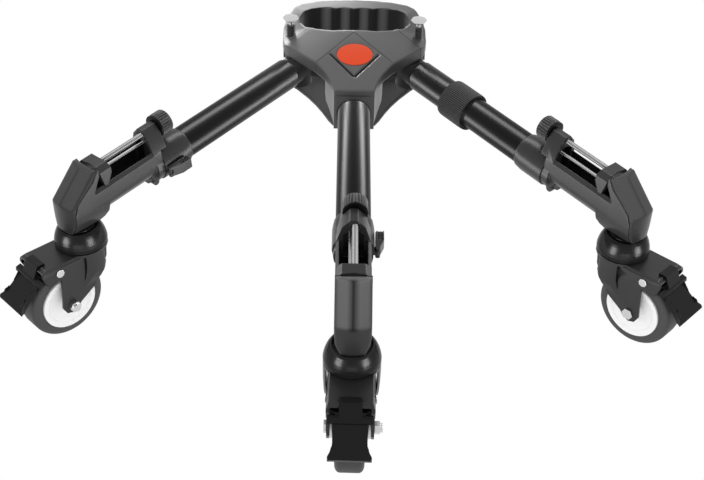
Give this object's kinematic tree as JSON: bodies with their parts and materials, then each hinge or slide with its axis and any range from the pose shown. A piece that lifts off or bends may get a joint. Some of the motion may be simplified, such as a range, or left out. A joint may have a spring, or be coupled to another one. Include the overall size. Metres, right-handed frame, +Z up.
{
  "type": "tripod_dolly",
  "caption": "Folding tripod dolly: moulded hub with a carrying handle, telescopic tube legs, a screw clamp for a tripod foot on each leg, and braked swivel casters.",
  "frame": {"origin": "under the middle of the whole dolly, on the floor", "axes": "X across the dolly, Y from the front caster to the handle, Z up"},
  "size_m": [0.6424, 0.5524, 0.2],
  "materials": {
    "hub_plastic": "satin moulded",
    "leg_plastic": "satin moulded",
    "tube_black": "semi-gloss powder coat",
    "badge_orange": "gloss",
    "steel": "plated",
    "fork_black": "gloss paint",
    "cap_black": "gloss moulded",
    "wheel_white": "moulded nylon",
    "tyre_grey": "matt rubber",
    "strap_fabric": "hook-and-loop weave"
  },
  "bodies": {
    "hub": {"hub_base": "hub_plastic", "hub_top": "hub_plastic", "badge": "badge_orange", "pin_collar_left": "fork_black", "pin_collar_right": "fork_black", "pivot_bolt_left": "steel", "pivot_bolt_right": "steel", "outer_tube_front": "tube_black", "collar_front": "leg_plastic"},
    "side_leg_left": {"leg_root_left": "hub_plastic", "outer_tube_left": "tube_black", "collar_left": "leg_plastic"},
    "side_leg_right": {"leg_root_right": "hub_plastic", "outer_tube_right": "tube_black", "collar_right": "leg_plastic", "strap": "strap_fabric"},
    "pin_left": {"pull_pin_left": "steel"},
    "pin_right": {"pull_pin_right": "steel"},
    "lever_arm_front": {"lever_front": "leg_plastic"},
    "lever_arm_left": {"lever_left": "leg_plastic"},
    "lever_arm_right": {"lever_right": "leg_plastic"},
    "slider_front": {"inner_tube_front": "tube_black", "carrier_front": "leg_plastic", "head_cover_front": "leg_plastic"},
    "slider_left": {"inner_tube_left": "tube_black", "carrier_left": "leg_plastic", "head_cover_left": "leg_plastic"},
    "slider_right": {"inner_tube_right": "tube_black", "carrier_right": "leg_plastic", "head_cover_right": "leg_plastic"},
    "jaw_block_front": {"jaw_front": "leg_plastic", "guide_rod_front": "steel"},
    "jaw_block_left": {"jaw_left": "leg_plastic", "guide_rod_left": "steel"},
    "jaw_block_right": {"jaw_right": "leg_plastic", "guide_rod_right": "steel"},
    "screw_front": {"clamp_screw_front": "steel"},
    "screw_left": {"clamp_screw_left": "steel"},
    "screw_right": {"clamp_screw_right": "steel"},
    "caster_front": {"swivel_cap_front": "cap_black", "fork_front": "fork_black", "axle_front": "steel", "brake_pin_front": "steel"},
    "caster_left": {"swivel_cap_left": "cap_black", "fork_left": "fork_black", "axle_left": "steel", "brake_pin_left": "steel"},
    "caster_right": {"swivel_cap_right": "cap_black", "fork_right": "fork_black", "axle_right": "steel", "brake_pin_right": "steel"},
    "wheel_set_front": {"wheel_front": "wheel_white", "tyre_front": "tyre_grey"},
    "wheel_set_left": {"wheel_left": "wheel_white", "tyre_left": "tyre_grey"},
    "wheel_set_right": {"wheel_right": "wheel_white", "tyre_right": "tyre_grey"},
    "pedal_front": {"brake_pedal_front": "cap_black"},
    "pedal_left": {"brake_pedal_left": "cap_black"},
    "pedal_right": {"brake_pedal_right": "cap_black"}
  },
  "joints": [
    {"name": "fold_left", "type": "hinge", "parent": "hub", "child": "side_leg_left", "pos_m": [-0.05809, 0.19045, 0.148], "axis": [0, 0, 1], "range_deg": [0, 40]},
    {"name": "fold_right", "type": "hinge", "parent": "hub", "child": "side_leg_right", "pos_m": [0.05809, 0.19045, 0.148], "axis": [0, 0, -1], "range_deg": [0, 40]},
    {"name": "pull_left", "type": "slide", "parent": "hub", "child": "pin_left", "axis": [0, 0, 1], "range_m": [0, 0.009], "stiffness_N_per_m": 300},
    {"name": "pull_right", "type": "slide", "parent": "hub", "child": "pin_right", "axis": [0, 0, 1], "range_m": [0, 0.009], "stiffness_N_per_m": 300},
    {"name": "lever_swing_front", "type": "hinge", "parent": "hub", "child": "lever_arm_front", "pos_m": [0.0213, -0.09868, 0.1251], "axis": [0, 0.0941, -0.9956], "range_deg": [0, 90]},
    {"name": "lever_swing_left", "type": "hinge", "parent": "side_leg_left", "child": "lever_arm_left", "pos_m": [-0.17289, 0.0216, 0.1251], "axis": [0.0607, 0.0719, -0.9956], "range_deg": [0, 90]},
    {"name": "lever_swing_right", "type": "hinge", "parent": "side_leg_right", "child": "lever_arm_right", "pos_m": [0.20543, 0.04909, 0.1251], "axis": [-0.0607, 0.0719, -0.9956], "range_deg": [0, 90]},
    {"name": "extend_front", "type": "slide", "parent": "hub", "child": "slider_front", "axis": [0, -0.9956, -0.0941], "range_m": [0, 0.09]},
    {"name": "extend_left", "type": "slide", "parent": "side_leg_left", "child": "slider_left", "axis": [-0.6426, -0.7604, -0.0941], "range_m": [0, 0.09]},
    {"name": "extend_right", "type": "slide", "parent": "side_leg_right", "child": "slider_right", "axis": [0.6426, -0.7604, -0.0941], "range_m": [0, 0.09]},
    {"name": "jaw_slide_front", "type": "slide", "parent": "slider_front", "child": "jaw_block_front", "axis": [0, 0.9956, 0.0941], "range_m": [0, 0.044]},
    {"name": "jaw_slide_left", "type": "slide", "parent": "slider_left", "child": "jaw_block_left", "axis": [0.6426, 0.7604, 0.0941], "range_m": [0, 0.044]},
    {"name": "jaw_slide_right", "type": "slide", "parent": "slider_right", "child": "jaw_block_right", "axis": [-0.6426, 0.7604, 0.0941], "range_m": [0, 0.044]},
    {"name": "screw_turn_front", "type": "hinge", "parent": "jaw_block_front", "child": "screw_front", "pos_m": [0.001, -0.10839, 0.16411], "axis": [0, 0.9956, 0.0941], "range_deg": [0, 10560]},
    {"name": "screw_turn_left", "type": "hinge", "parent": "jaw_block_left", "child": "screw_left", "pos_m": [-0.19467, 0.02728, 0.16411], "axis": [0.6426, 0.7604, 0.0941], "range_deg": [0, 10560]},
    {"name": "screw_turn_right", "type": "hinge", "parent": "jaw_block_right", "child": "screw_right", "pos_m": [0.1962, 0.02857, 0.16411], "axis": [-0.6426, 0.7604, 0.0941], "range_deg": [0, 10560]},
    {"name": "swivel_front", "type": "hinge", "parent": "slider_front", "child": "caster_front", "pos_m": [0, -0.19451, 0.086], "axis": [0, 0, 1], "continuous": true},
    {"name": "swivel_left", "type": "hinge", "parent": "slider_left", "child": "caster_left", "pos_m": [-0.25102, -0.03785, 0.086], "axis": [0, 0, 1], "continuous": true},
    {"name": "swivel_right", "type": "hinge", "parent": "slider_right", "child": "caster_right", "pos_m": [0.25102, -0.03785, 0.086], "axis": [0, 0, 1], "continuous": true},
    {"name": "roll_front", "type": "hinge", "parent": "caster_front", "child": "wheel_set_front", "pos_m": [-0.0005, -0.22291, 0.0375], "axis": [0.9998, -0.0175, 0], "continuous": true},
    {"name": "roll_left", "type": "hinge", "parent": "caster_left", "child": "wheel_set_left", "pos_m": [-0.27152, -0.05751, 0.0375], "axis": [0.6921, -0.7218, 0], "continuous": true},
    {"name": "roll_right", "type": "hinge", "parent": "caster_right", "child": "wheel_set_right", "pos_m": [0.27152, -0.05751, 0.0375], "axis": [0.6921, 0.7218, 0], "continuous": true},
    {"name": "brake_front", "type": "hinge", "parent": "caster_front", "child": "pedal_front", "pos_m": [-0.00064, -0.23121, 0.0787], "axis": [0.9998, -0.0175, 0], "range_deg": [0, 6]},
    {"name": "brake_left", "type": "hinge", "parent": "caster_left", "child": "pedal_left", "pos_m": [-0.27751, -0.06325, 0.0787], "axis": [0.6921, -0.7218, 0], "range_deg": [0, 6]},
    {"name": "brake_right", "type": "hinge", "parent": "caster_right", "child": "pedal_right", "pos_m": [0.27751, -0.06325, 0.0787], "axis": [0.6921, 0.7218, 0], "range_deg": [0, 6]}
  ],
  "couplings": [
    {"joint": "screw_turn_front", "follows": "jaw_slide_front", "rad_per_m": 4188.8},
    {"joint": "screw_turn_left", "follows": "jaw_slide_left", "rad_per_m": 4188.8},
    {"joint": "screw_turn_right", "follows": "jaw_slide_right", "rad_per_m": 4188.8}
  ]
}
